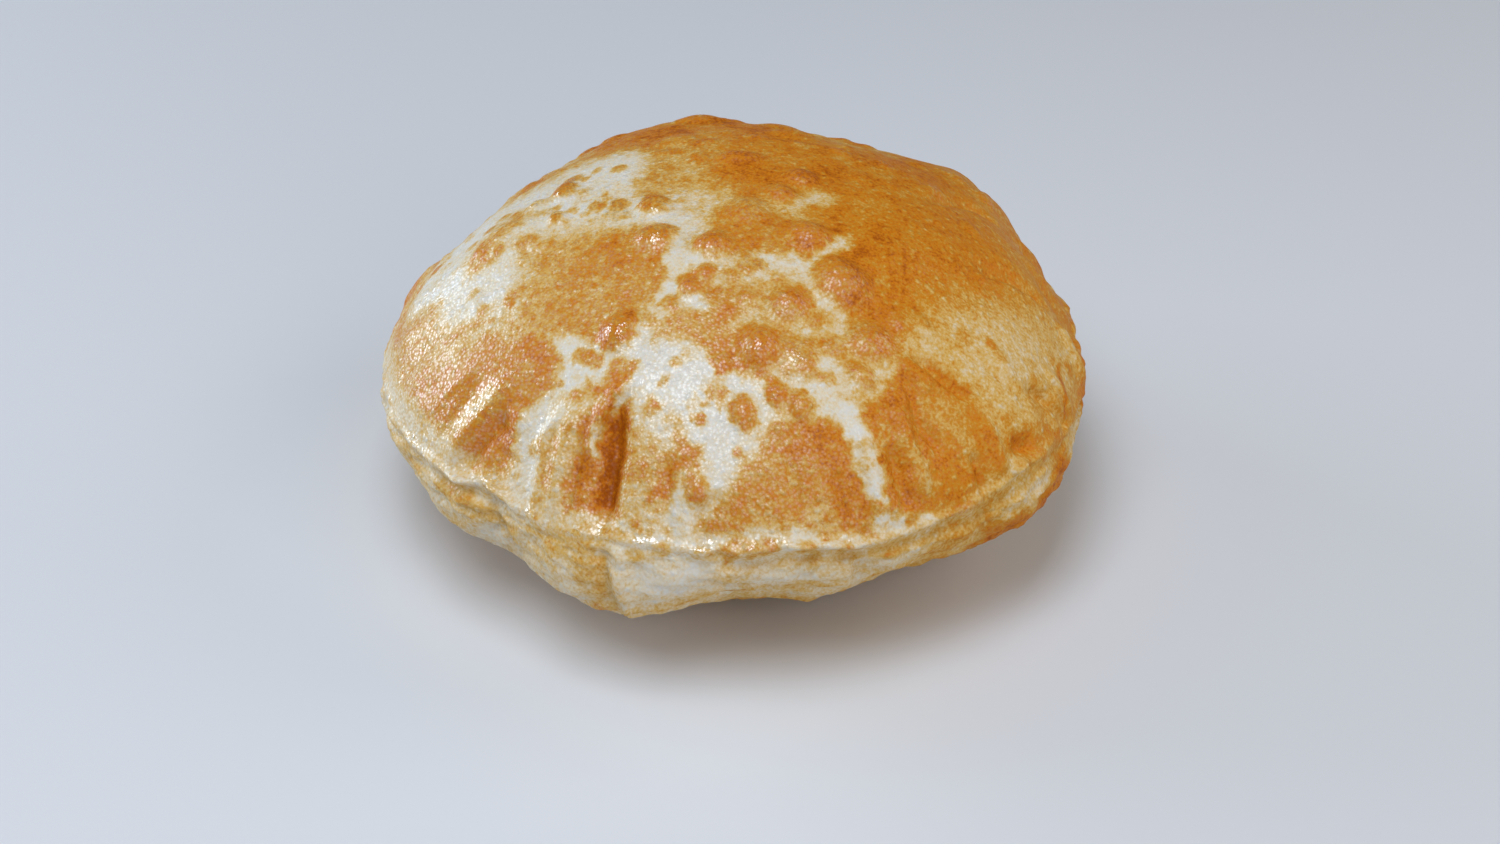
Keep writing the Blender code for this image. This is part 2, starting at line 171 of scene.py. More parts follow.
# Pleats, pockets and crests: half-width on the left and on the right, rise, then the run down the skin.
FOLDS = [
    (2.6, 3.2, -4.6, [(-23, 47), (-22, 52), (-20.5, 60), (-20, 70), (-19, 80)]),
    (8.0, 6.0, -2.6, [(-24, 52), (-22, 64), (-20.5, 80)]),
    (2.4, 0.9, 2.4, [(-21, 44), (-24, 51), (-24.8, 57), (-23, 64)]),
    (3.6, 3.0, 1.8, [(-29, 50), (-29.5, 62), (-28.5, 80)]),
    (1.3, 1.6, -1.4, [(-26.5, 60), (-26, 70), (-26, 79)]),
    (1.4, 2.2, 1.5, [(-32, 52), (-34, 60), (-32.5, 70), (-31, 82)]),
    (1.6, 5.0, -3.4, [(-43, 58), (-45.5, 68), (-48, 80)]),
    (5.0, 4.0, -1.6, [(-40, 66), (-41, 77)]),
    (3.8, 2.4, 1.0, [(-44.5, 50), (-47, 62), (-50, 79)]),
    (2.2, 2.0, -0.8, [(-50.5, 55), (-53, 76)]),
    (2.4, 1.8, 0.7, [(-53, 52), (-56, 62), (-58, 72)]),
    (3.6, 2.8, 0.7, [(-59, 48), (-63, 60), (-66, 78)]),
    (2.4, 2.0, -0.9, [(-68, 56), (-71, 74)]),
    (3.0, 2.4, 0.6, [(-74, 54), (-78, 70)]),
    (3.4, 1.2, -2.4, [(-18.5, 82), (-18.2, 94), (-17, 108)]),
    (1.0, 2.8, 2.2, [(-16.6, 81), (-16.2, 94), (-15, 109)]),
    (1.6, 3.0, -2.2, [(-41, 84), (-38, 95), (-34, 106)]),
    (1.8, 2.2, -1.3, [(-11, 58), (-9.5, 79)]),
    (1.6, 2.0, -1.5, [(-2, 64), (-5, 72), (-5, 80)]),
    (1.4, 2.6, -2.6, [(39.5, 43), (43.5, 51), (46, 57)]),
    (3.8, 2.0, 1.6, [(36, 42), (40, 51)]),
    (1.4, 2.6, -2.4, [(34.5, 46), (33.8, 56), (36, 66)]),
    (3.0, 1.8, 1.7, [(30.5, 48), (30.5, 60), (31.5, 73)]),
    (1.8, 2.6, -2.2, [(26.5, 58), (27, 76)]),
    (2.6, 3.0, 1.6, [(22, 50), (22.5, 64), (23, 81)]),
    (1.4, 2.4, -2.5, [(41, 66), (41.5, 81)]),
    (2.6, 2.0, 1.8, [(46, 60), (46, 77)]),
    (2.0, 3.6, -2.6, [(49, 70), (54, 74)]),
    (2.4, 2.0, -2.6, [(59, 60), (64, 69), (66.5, 82)]),
    (1.4, 3.0, 1.6, [(68, 62), (70, 81)]),
    (1.6, 3.4, -2.4, [(76, 38), (83, 47), (86, 60)]),
    (2.0, 3.6, -2.2, [(100, 28), (111, 42), (108, 58)]),
    (2.4, 2.4, -1.8, [(19, 88), (19, 104)]),
    (9.0, 1.8, 2.2, [(17, 90), (18, 98), (17, 106)]),
    (4.0, 4.0, 1.2, [(2, 96), (3, 108)]),
    (1.4, 1.8, -0.9, [(16, 60), (17, 74)]),
    (1.6, 2.0, -0.9, [(9, 56), (10, 70)]),
    (1.4, 1.6, -0.8, [(53, 50), (57, 64)]),
]

# Blisters: bearing, drop, width, length down the skin, rise.
BLISTERS = [
    (34, 25.5, 22, 24, 3.2), (37, 15, 16, 18, 2.0), (-13, 15, 13, 17, 1.8), (-41, 16, 15, 17, 2.0),
    (-65, 11.5, 16, 14, 1.8), (65, 5, 14, 14, 1.6), (105, 7.5, 16, 14, 1.6), (180, 6.5, 20, 12, 1.3),
    (10, 6, 18, 19, 1.5), (-97, 25, 16, 12, 1.7), (-80, 26, 11, 10, 1.2), (-93, 30, 10, 11, 1.0),
    (-28, 36, 15, 19, 2.5), (5.5, 35.5, 15, 20, 2.7), (15, 27, 13, 15, 2.0), (-12, 21, 9, 10, 1.3),
    (-15, 24.5, 9, 10, 1.6), (14, 38, 17, 18, 1.2), (32, 38, 18, 18, 1.6), (26.5, 44, 10, 12, 1.2),
    (8, 45, 9, 10, 1.0), (12.5, 47.5, 9, 13, 1.3), (1.5, 48, 10, 15, 1.4), (-5.5, 64.5, 9, 12, 1.3),
    (65, 72, 16, 14, 1.4), (44, 37, 14, 16, 1.2), (160, 22, 20, 15, 1.5), (-150, 18, 18, 15, 1.5),
]

# The seam: bearing, drop, how far its crimped lip stands out and how far the skin sits in under it.
SEAM = [
    (-180, 82, 0.7, 0.8), (-160, 79, 1.1, 1.0), (-140, 81, 0.4, 0.5), (-120, 84, 0.9, 0.7),
    (-100, 81, 0.5, 0.4), (-85, 82, 0.3, 0.3), (-72, 80, 0.4, 0.3), (-60, 83, 0.4, 0.3),
    (-53, 81, 0.8, 0.4), (-47, 81.5, 1.4, 0.7), (-40, 77.5, 1.6, 0.8), (-35, 80, 1.2, 0.5),
    (-28, 82, 0.4, 0.2), (-20, 80, 0.2, 0.0), (-10, 79.5, 0.8, 0.5), (0, 80, 1.5, 1.0),
    (8, 78.5, 2.2, 1.4), (14, 80, 2.2, 1.6), (17, 81.5, 2.6, 1.6), (20, 82, 1.0, 1.4),
    (30, 80.5, 0.7, 1.2), (40, 79.5, 0.8, 1.1), (50, 76.5, 1.0, 1.2), (60, 77.5, 0.7, 0.9),
    (66, 81, 0.5, 0.6), (80, 83, 0.5, 0.5), (100, 80, 0.8, 0.8), (120, 83, 0.4, 0.5),
    (140, 80, 1.0, 1.0), (160, 84, 0.6, 0.6), (180, 82, 0.7, 0.8),
]

# Bumps at their true size, on top of the solid's wider ones: bearing, drop, width, length, rise, browning.
BUMPS = [
    (-97, 25, 12, 8.5, 0.8, 0.72), (-105, 25, 10, 6, 0.5, 0.70), (-93, 30, 8, 5, 0.5, 0.55),
    (-80, 26, 9, 5, 0.6, 0.68), (-87, 26, 4, 4, 0.3, 0.60), (-82.5, 23.5, 4, 4, 0.3, 0.60),
    (-78, 21.5, 4, 4, 0.3, 0.65), (-80, 19.5, 6, 5, 0.4, 0.68), (-77, 16, 8, 7, 0.5, 0.70),
    (-86, 18, 4, 3, 0.2, 0.50), (-70, 17, 10, 9, 0.3, 0.50), (-65, 11.5, 12, 10, 0.9, 0.76),
    (-41, 16, 12, 13, 1.0, 0.72), (-43, 21.5, 5, 5, 0.4, 0.68), (-13, 15, 9, 13, 1.0, 0.78),
    (37, 15, 12, 14, 0.8, 0.85), (65, 5, 10, 10, 0.6, 0.84), (105, 7.5, 12, 10, 0.6, 0.84),
    (180, 6.5, 16, 8, 0.5, 0.82), (10, 6, 14, 15, 0.5, 0.70), (-12, 21, 7, 8, 0.9, 0.74),
    (-15.5, 24.5, 7, 8, 1.0, 0.78), (-18.5, 28, 7, 7, 0.7, 0.68), (3, 25, 6, 7, 0.5, 0.72),
    (6, 19, 10, 6, 0.4, 0.62), (15.5, 27.5, 13, 12, 1.1, 0.76), (34.5, 25.5, 18, 20, 1.2, 0.84),
    (18.5, 31, 5, 5, 0.4, 0.66), (22, 31, 5, 5, 0.4, 0.66), (27, 31, 7, 6, 0.4, 0.55),
    (-29, 36, 12, 15, 1.2, 0.88), (5.5, 35.5, 11, 14, 1.3, 0.84), (14, 38, 14, 15, 0.5, 0.68),
    (32, 38, 15, 15, 0.8, 0.72), (26.5, 44, 8, 9, 0.6, 0.70), (8.5, 45, 8, 8, 0.6, 0.74),
    (12.5, 47.5, 7, 10, 0.7, 0.76), (1.5, 48, 7, 11, 0.7, 0.76), (-2.5, 46, 5, 8, 0.4, 0.60),
    (-5.5, 64.5, 7, 10, 0.8, 0.72), (-3, 38.5, 7, 7, 0.4, 0.74), (-5, 45, 2.6, 7, 0.3, 0.62),
    (-8, 45, 3, 3, 0.2, 0.55), (-14, 44, 3, 5, 0.25, 0.50), (0.5, 56, 4, 4, 0.3, 0.64),
    (19, 43, 6, 6, 0.4, 0.62), (-22, 41, 3, 4, 0.2, 0.50), (-8, 50, 3, 3, 0.2, 0.50),
    (24, 37, 10, 7, 0.4, 0.60), (42, 37, 6, 7, 0.5, 0.50), (49, 49, 4, 4, 0.4, 0.40),
    (-59, 46, 4, 4, 0.3, 0.55), (-55.5, 62, 3, 5, 0.3, 0.72), (-35, 44, 2.5, 4, 0.25, 0.50),
    (-35.5, 49, 3, 3, 0.25, 0.55), (-30.5, 50.5, 3, 3.5, 0.3, 0.75), (-28, 49, 2.5, 2.5, 0.2, 0.50),
    (-34.5, 63, 6, 6, 0.4, 0.50), (-37, 67, 4, 3, 0.2, 0.45), (12, 80, 7, 5, 0.9, 0.25),
    (17, 80, 9, 7, 1.6, 0.12), (-169, 33.5, 18, 14, 2.2, 0.80), (-178, 33, 8, 8, 0.8, 0.80),
    (168, 33.5, 17, 12, 1.6, 0.80), (152, 36, 9, 8, 1.1, 0.80), (146, 37.5, 9, 8, 1.0, 0.80),
    (126, 47, 10, 8, 0.9, 0.78), (119, 51.5, 9, 8, 1.1, 0.76), (110, 60.5, 10, 9, 1.2, 0.70),
    (-160, 34.5, 9, 8, 0.7, 0.78), (-146, 37.5, 10, 8, 1.0, 0.70), (-139, 40, 9, 7, 1.0, 0.66),
    (-130, 44.5, 9, 8, 0.8, 0.60), (104, 67, 9, 8, 0.8, 0.66), (-160, 14, 10, 7, 0.8, 0.80),
    (172, 16, 9, 6, 0.8, 0.80), (152, 17, 8, 6, 0.6, 0.80), (134, 20, 9, 6, 0.7, 0.80),
    (-138, 15, 8, 6, 0.7, 0.70), (122, 25, 9, 7, 0.7, 0.80), (112, 33, 9, 7, 0.6, 0.78),
]

# Browning, from 0 for raw cream to 1 for dark brown, laid on as brush strokes; a few lay painted shade in
# grooves and under the lip, and a few painted sheen on pale crests. In this order:
# browning, half-width, softness of the edge, then the run of (bearing, drop). One place is a round dab.
STROKES = [
    # right rim and the lobes behind it, tan
    (0.69, 20, 8, [(85, 62), (100, 60), (125, 56)]), (0.47, 22, 9, [(56, 52), (66, 62), (74, 70)]),
    (0.42, 9, 6, [(46, 45), (56, 50), (60, 56)]), (0.50, 10, 6, [(48, 60), (52, 66)]),
    # left side, pale, with a tan rim
    (0.10, 17, 6, [(-108, 20), (-100, 24), (-90, 32)]), (0.10, 22, 6, [(-92, 46), (-76, 48), (-64, 46)]),
    (0.12, 12, 5, [(-70, 36), (-66, 42)]), (0.14, 10, 5, [(-76, 24), (-70, 24)]),
    (0.12, 9, 4, [(-60, 44), (-48, 43), (-38, 44)]), (0.20, 9, 4, [(-74, 12), (-60, 16), (-55, 19)]),
    (0.15, 10, 5, [(-105, 12), (-85, 14), (-75, 18)]),
    (0.50, 9, 5, [(-125, 38), (-112, 46), (-104, 54), (-96, 62), (-90, 72), (-84, 80)]),
    (0.66, 5.5, 4, [(-87, 33), (-83, 37), (-80, 42)]), (0.46, 5, 3, [(-74, 32), (-66, 30)]),
    # crown
    (0.50, 12, 5, [(-90, 7), (-60, 5)]), (0.46, 9, 4, [(-55, 6), (-35, 8), (-20, 8)]),
    (0.58, 8, 4, [(-150, 14), (-118, 10), (-92, 8)]), (0.78, 4, 3, [(0, 0)]),
    (0.82, 4, 3, [(180, 5), (150, 6)]),
    (0.48, 6, 3, [(40, 7.5), (60, 8), (78, 9)]),
    # the big patch at the upper left
    (0.62, 14, 8, [(-58, 27), (-48, 30), (-38, 33)]), (0.60, 12, 7, [(-50, 36), (-40, 36), (-33, 36)]),
    (0.68, 9, 4, [(-38, 22), (-32, 27), (-28, 31)]), (0.70, 8, 4, [(-48, 20), (-40, 22)]),
    # belt below the crown and the patches in front of it
    (0.68, 7.5, 3, [(0, 6), (15, 8)]),
    (0.72, 8, 2.5, [(-14, 14), (0, 13.5), (12, 14), (24, 14.5), (33, 15)]),
    (0.62, 9, 3.5, [(-12, 29), (-4, 29)]), (0.66, 8, 3, [(-6, 34), (-4, 36)]), (0.60, 5, 2.5, [(-14, 36)]),
    (0.50, 6, 3, [(4, 29), (8, 30)]), (0.74, 7, 2.5, [(5.5, 35.5)]), (0.62, 8, 3, [(13, 37), (14, 40)]),
    # the pale web between the patches
    (0.14, 2.5, 1.5, [(-30, 12), (-29, 14), (-26, 17), (-23, 21), (-21.5, 26), (-21.5, 30), (-22, 38)]),
    (0.24, 4.5, 2.6, [(-62, 9), (-44, 10), (-31, 12), (-24, 13)]),
    (0.14, 3.0, 1.5, [(-62, 14), (-52, 12.5), (-44, 11)]),
    (0.14, 3.2, 1.6, [(-24, 18.5), (-6, 19)]), (0.44, 2.8, 2.0, [(-4, 19), (2, 18), (8, 18.4)]),
    (0.18, 3.2, 1.6, [(10, 18.4), (20, 19.5), (28, 18.5), (46, 18)]),
    (0.32, 3.4, 2.2, [(-8, 21.5), (2, 21), (12, 20.5)]), (0.12, 3.0, 1.5, [(-12, 27), (-18, 26), (-20, 24)]),
    (0.34, 4.2, 2.6, [(16, 21.5), (22, 22), (24, 25), (25, 29), (25, 33), (24, 37)]),
    (0.30, 3.5, 2.2, [(18, 31), (18, 34), (21, 38)]), (0.22, 5.0, 2.4, [(20, 41), (20, 45), (18, 49)]),
    (0.30, 4.2, 2.6, [(22, 46), (28, 47), (30, 44)]), (0.42, 4.2, 2.6, [(30, 44), (38, 43), (46, 42)]),
    (0.14, 3.0, 1.5, [(-2, 42), (4, 43.5), (8, 41.5), (13, 44), (18, 44)]),
    (0.13, 3.2, 1.5, [(5, 46), (5, 51)]),
    (0.13, 3.0, 1.5, [(8.5, 50), (13, 52), (17, 52)]), (0.60, 3.0, 1.5, [(3, 25), (10, 23.5), (13, 22.5)]),
    # the pale V down the front and the pale skin left of the valley
    (0.00, 9, 2.5, [(-19, 42), (-12, 42), (-6, 44)]), (0.00, 8, 2.5, [(-9, 47), (-5, 50), (-3, 53)]),
    (0.02, 6, 2.2, [(-4, 56), (-2, 60)]), (0.10, 3.6, 1.8, [(-3, 62), (-1, 64), (-3, 67), (-4, 70)]),
    (0.12, 3.5, 1.6, [(3, 55), (3, 59)]), (0.10, 6.5, 2.2, [(-37, 43), (-35, 48), (-34, 54)]),
    (0.12, 6, 2.2, [(-36.5, 60), (-35, 66), (-35, 78)]), (0.10, 5, 2, [(-31, 43), (-27, 43), (-24, 42)]),
    # mottled skin right of the valley
    (0.52, 9.5, 3, [(-15, 57), (-14, 62), (-13, 70), (-12, 77)]), (0.75, 2.5, 1.2, [(-10, 59), (-11.5, 66)]),
    (0.76, 3, 1.5, [(-7, 57), (-6.5, 62)]), (0.74, 2.5, 1.2, [(-8, 75), (-7, 79)]),
    (0.20, 2.5, 1.5, [(-12, 73), (-11.5, 79)]), (0.20, 4, 2.5, [(-17, 50), (-13, 52)]),
    (0.12, 3.0, 1.5, [(-7.5, 63), (-8, 70), (-6, 76), (-5.5, 80)]), (0.30, 3, 2, [(-3, 70), (-5, 78)]),
    # the front patch
    (0.66, 13, 3, [(7, 66), (9, 72)]), (0.67, 11, 3, [(12, 60), (14, 66), (14, 72)]),
    (0.70, 6, 2.5, [(8, 54), (12, 55)]), (0.78, 7, 2.5, [(15, 56), (18, 60), (18.8, 66)]),
    (0.78, 5, 2, [(18.8, 70), (19, 76)]), (0.74, 6, 2.5, [(0, 72), (-3, 76)]),
    (0.50, 4, 2, [(14, 70), (14, 74)]),
    # pleats to the right of it, with painted shade in their grooves, their pocket and down the shaded sides
    # of their ridges, and a white streak of painted sheen
    (0.74, 10, 4, [(30, 54), (32, 62), (34, 73)]), (0.72, 9, 4, [(41, 60), (44, 72)]),
    (0.68, 4.5, 2, [(26, 77), (36, 78.5), (44, 76.5), (52, 73.5), (58, 73)]),
    # the darkest streaks from here on are painted shade over real browning: down the shaded sides of the
    # ridges, in the grooves and in the pocket
    (0.82, 3.4, 2, [(38, 45), (42, 50), (45, 54)]), (0.78, 3, 2, [(35, 47), (34, 56)]),
    (0.80, 4, 2, [(27, 62), (28, 74)]), (0.74, 5, 2.5, [(36, 64), (37, 76)]),
    (0.80, 3, 2, [(45, 66), (46, 73)]),
    (0.54, 2.2, 1.8, [(31, 60), (31.5, 70)]), (0.54, 2.2, 1.8, [(40.5, 62), (41, 70)]),
    (0.88, 1.8, 1.4, [(41.5, 72), (41.5, 80)]), (0.56, 4, 3, [(38, 56), (40, 59)]),
    (0.48, 2.4, 1.8, [(48, 62), (48, 74)]), (0.60, 6, 3, [(60, 66), (64, 69)]),
    (0.84, 3, 2, [(50, 69.5), (53, 71)]), (0.88, 1.6, 1.2, [(73, 66), (70, 70), (68, 75)]),
    # pale dough with a painted sheen: the white streak down the crest
    (0.04, 2.9, 1.3, [(21, 50), (21.5, 56), (22, 62), (22.5, 69), (23, 76), (23.5, 81)]),
    (0.12, 3.0, 1.5, [(26, 78), (29, 80)]),
    # left lobe: stripes along its pleats, one pale crest partly painted sheen, and the wedge-shaped pocket
    (0.68, 14, 6, [(-51, 54), (-56, 62), (-60, 70)]), (0.58, 10, 6, [(-70, 60), (-74, 70)]),
    (0.78, 4.5, 1.5, [(-46, 45), (-41, 46), (-39.5, 51)]), (0.68, 3.5, 2, [(-45, 51), (-42, 55)]),
    # the first stroke here is a pale crest: partly pale dough, partly painted sheen
    (0.40, 2.0, 2.0, [(-48, 58), (-51, 66), (-53, 74)]), (0.66, 2.6, 2.2, [(-62, 48), (-65, 56)]),
    (0.70, 2.4, 2.0, [(-55, 66), (-57, 76)]), (0.64, 2.6, 2.2, [(-76, 56), (-80, 68)]),
    (0.76, 6, 2.5, [(-62, 72), (-57, 76)]),
    (0.82, 2, 1.5, [(-42, 58), (-41.5, 62)]), (0.84, 3.6, 1.8, [(-42.5, 64), (-44, 70), (-47, 78)]),
    (0.78, 4, 2, [(-42, 70), (-41.5, 76)]), (0.80, 3, 1.5, [(-48, 79), (-44, 79)]),
    # the deep valley, its left bank and the pale lip between them, with painted shade along its grooves and
    # under the overhanging lip
    # the second stroke here darkens a thin groove: painted shade
    (0.50, 4, 2.2, [(-29, 52), (-29, 62), (-28, 72), (-28, 79)]), (0.80, 1.6, 1.2, [(-26, 64), (-26.2, 78)]),
    (0.78, 2.6, 1.4, [(-22.5, 43), (-24.5, 48), (-26, 54), (-25.5, 60)]),
    # the valley itself: real browning, darkest along its groove and under the overhanging lip, which is
    # painted shade
    (0.88, 4, 1.8, [(-21.5, 52), (-20.8, 60), (-21, 66)]),
    (0.86, 5.5, 2, [(-22, 68), (-21.5, 74), (-21, 78)]),
    (0.96, 2.6, 1.6, [(-20.8, 52), (-20.2, 64), (-20, 78)]), (0.60, 1.0, 1.2, [(-23, 62), (-23, 76)]),
    (0.15, 1.1, 0.8, [(-20.5, 46), (-22.5, 50), (-24, 54), (-24.3, 57), (-23, 60)]),
    # crinkled pale margin above the seam
    (0.24, 5, 4, [(-84, 80), (-70, 79), (-58, 80), (-50, 80)]), (0.22, 4, 3, [(-28, 82), (-14, 80)]),
    (0.14, 4, 2.5, [(-10, 80), (0, 79), (10, 78)]), (0.20, 2.5, 2, [(14, 78), (18, 80)]),
    # the wall under the seam: yellow at the left, whitish in front, tan at the right, and smudged, with
    # painted shade at the right and just under the lip
    (0.30, 14, 6, [(-62, 92), (-48, 94), (-26, 98)]), (0.15, 8, 4, [(-10, 95), (12, 94), (34, 92), (48, 88)]),
    # the first stroke here: tan at the right, darkened further as painted shade
    (0.84, 12, 6, [(36, 102), (58, 97), (84, 94)]), (0.46, 6, 5, [(24, 106), (40, 101)]),
    (0.50, 4, 3, [(-50, 88), (-40, 90)]), (0.48, 4, 3, [(-38, 92), (-36, 98)]),
    (0.45, 4, 3, [(-30, 86), (-25, 88)]),
    (0.50, 6, 3, [(-21, 84), (-20, 94), (-19, 104)]), (0.38, 5, 3, [(0, 92)]),
    # painted shade with some tan: the band just under the overhanging lip in front
    (0.44, 3, 2.5, [(4, 86), (18, 85)]),
    (0.48, 4, 3, [(-16, 104), (0, 104), (12, 102)]), (0.42, 4, 3, [(16, 98), (20, 100)]),
    # the first stroke here: a brown line just under the seam, partly real brown and partly painted shade
    (0.54, 3, 2.5, [(22, 86), (32, 85), (44, 83.5), (56, 81.5)]), (0.44, 4, 3, [(46, 90), (56, 88)]),
    (0.44, 6, 4, [(-66, 92), (-58, 94)]),
    (0.42, 6, 4, [(66, 92), (74, 92)]),
]

# Places painted and shaped in their own way: the smooth oily left lobe, and the mottled skin by the valley.
LEFT_LOBE, LEFT_LOBE_EDGE = [(-46, 60), (-60, 66), (-74, 66)], (32, 14)
MOTTLED, MOTTLED_EDGE = [(-14, 57), (-13, 66), (-12, 78)], (7, 13)

# What is placed at random, within these limits. A lowest place is the cosine of its drop.
SMALL_BLISTERS, SMALL_LOWEST = 60, -0.1     # the solid's own broad small blisters
SMALL_WIDTHS, SMALL_LENGTHS, SMALL_RISES = (7, 13), (8, 14), (0.4, 0.9)

GATHERS = 24                # pleats gathered along the rim round the back, down to the seam
GATHERS_FROM, GATHERS_TO = 84, 276
GATHER_TOPS, GATHER_END = (46, 62), 82
GATHER_RISES, GATHER_HALF_WIDTHS = (0.6, 2.0), (2.8, 4.6)

KNOBS, KNOB_DROPS = 110, (-1.8, 1.2)        # little knobs that crinkle the seam
KNOB_WIDTHS, KNOB_LENGTHS = (5, 9), (4, 7)
KNOB_SHARES = (0.2, 0.7)    # of the height of the seam's lip
KNOB_BROWNINGS = (0, 0.6)

FINE_BLISTERS, FINE_LOWEST = 800, 0.1
FINE_SIZES, FINE_RISES, FINE_BROWNINGS = (3.4, 6.5), (0.12, 0.35), (0.2, 0.7)

BACK_STREAKS = 11           # pale streaks over the hidden back
STREAK_BEARINGS, STREAK_DROPS = (140, 232), (28, 66)
STREAK_TURNS, STREAK_FALLS = (-14, 14), (5, 14)
STREAK_BROWNINGS, STREAK_HALF_WIDTHS, STREAK_SOFTNESS = (0.26, 0.50), (3, 8), 5


def skin(bearing, drop):
    """Points of the smooth pillow in mm; bearing and drop are arrays in radians."""
    fall, reach = np.cos(drop), np.sin(drop)
    top = fall >= 0
    radius = GIRTH_RADIUS * np.where(top, reach ** SHOULDER, reach)
    height = np.where(top, CROWN_RISE * np.abs(fall) ** DOME, BELLY_DEPTH * fall)
    return np.stack([radius * np.sin(bearing), -radius * np.cos(bearing), GIRTH_HEIGHT + height], -1)


def skin_axes(bearing, drop):
    """Unit vectors across, down and out of the smooth pillow."""
    step = 1e-3
    above, below = skin(bearing, np.maximum(drop - step, 1e-6)), skin(bearing, np.minimum(drop + step, np.pi))
    down = below - above
    down /= np.linalg.norm(down, axis=-1, keepdims=True)
    across = np.stack([np.cos(bearing), np.sin(bearing), np.zeros_like(bearing)], -1)
    return across, down, np.cross(down, across)


def spot(points, bearing, drop, half_across, half_down):
    """Squared distance of every point from one place, in units of the half-sizes given."""
    place = np.radians(bearing), np.radians(drop)
    across, down, out = skin_axes(*place)
    away = points - skin(*place)
    return ((away @ across) / half_across) ** 2 + ((away @ down) / half_down) ** 2 \
        + ((away @ out) / max(half_across, half_down)) ** 2


def mound(away):
    """A round dome over a spot: 1 in its middle, 0 from its edge outwards."""
    return np.clip(1 - away, 0, 1)


def fold(points, left, right, run):
    """A groove or crest along a run of places: 1 on its line, fading to either side and at both ends."""
    bearings, drops = np.radians(np.array(run, float)).T
    stops = skin(bearings, drops)
    outs = skin_axes(bearings, drops)[2]
    lengths = np.linalg.norm(np.diff(stops, axis=0), axis=1)
    starts = np.concatenate([[0.0], np.cumsum(lengths)])
    nearest = np.full(len(points), np.inf)
    along = np.zeros(len(points))
    width = np.full(len(points), float(left))
    for start, a, b, out, length in zip(starts, stops[:-1], stops[1:], outs, lengths):
        part = np.clip((points - a) @ (b - a) / length ** 2, 0, 1)
        away = points - a - part[:, None] * (b - a)
        distance = np.linalg.norm(away, axis=1)
        closer = distance < nearest
        nearest[closer] = distance[closer]
        along[closer] = (start + part * length)[closer] / starts[-1]
        width[closer] = np.where(away @ np.cross(out, b - a) > 0, right, left)[closer]
    ends = np.clip(np.minimum(along, 1 - along) / FOLD_ENDS, 0, 1)
    return np.exp(-(nearest / width) ** 2) * (FOLD_LEFT + (1 - FOLD_LEFT) * ends)


def distance_to(points, run):
    """Distance in mm of every point from a run of places; a run of one place is a single point."""
    bearings, drops = np.radians(np.array(run, float)).T
    stops = skin(bearings, drops)
    nearest = np.linalg.norm(points - stops[0], axis=1)
    for a, b in zip(stops[:-1], stops[1:]):
        part = np.clip((points - a) @ (b - a) / ((b - a) @ (b - a)), 0, 1)
        nearest = np.minimum(nearest, np.linalg.norm(points - a - part[:, None] * (b - a), axis=1))
    return nearest


def smooth(value, start, end):
    """A soft step from 0 at start to 1 at end; it falls instead of rising where start is the greater."""
    part = np.clip((value - start) / (end - start), 0, 1)
    return part * part * (3 - 2 * part)


def blend(first, second, share):
    """From first to second as the share goes from 0 to 1."""
    return first + (second - first) * share


def lumps(points, size, octaves=3, seed=0):
    """Smooth noise between about -1 and 1; size is the spacing of its lumps in mm."""
    shift = Vector((17.3, 5.1, 11.7)) * (seed + 1)
    scaled = points / size
    return np.array([noise.fractal(Vector(place) + shift, 1.0, 2.0, octaves) for place in scaled])


def bubbles(points, size, seed=0):
    """Round domes packed side by side, each of its own strength: up to 1 in the middle, 0 at the edge."""
    shift = Vector((3.7, 9.2, 6.1)) * (seed + 1)
    domes = []
    for place in points / size:
        distances, centres = noise.voronoi(Vector(place) + shift)
        strength = 0.6 + 0.8 * noise.noise(centres[0] * 4.7)
        domes.append(strength * max(0.0, 1 - (distances[0] / 0.58) ** 2))
    return np.clip(domes, 0, 1)


def below_seam(bearing, drop):
    """Signed distance down the skin from the seam, in mm, with its lip and inset at that bearing."""
    bearings, drops, lips, insets = np.array(SEAM, float).T
    degrees = np.degrees(bearing)
    below = (np.degrees(drop) - np.interp(degrees, bearings, drops)) * SEAM_SCALE
    return below, np.interp(degrees, bearings, lips), np.interp(degrees, bearings, insets)


def waves(points, rng):
    """Slow random swells, about a millimetre, from a handful of crossing sine waves."""
    total = np.zeros(len(points))
    for _ in range(WAVES):
        direction = rng.normal(size=3)
        direction /= np.linalg.norm(direction)
        total += np.sin(points @ direction / rng.uniform(*WAVE_LENGTHS) + rng.uniform(0, 2 * np.pi))
    return total / np.sqrt(WAVES)


def anywhere(rng, lowest):
    """Bearing and drop of a random place, as likely on any bit of skin; lowest is the cosine of its drop."""
    return rng.uniform(-180, 180), np.degrees(np.arccos(rng.uniform(lowest, 1)))


def small_blisters(rng):
    """Rows like those of BLISTERS, all over the top."""
    return [(*anywhere(rng, SMALL_LOWEST), rng.uniform(*SMALL_WIDTHS), rng.uniform(*SMALL_LENGTHS),
             rng.uniform(*SMALL_RISES)) for _ in range(SMALL_BLISTERS)]


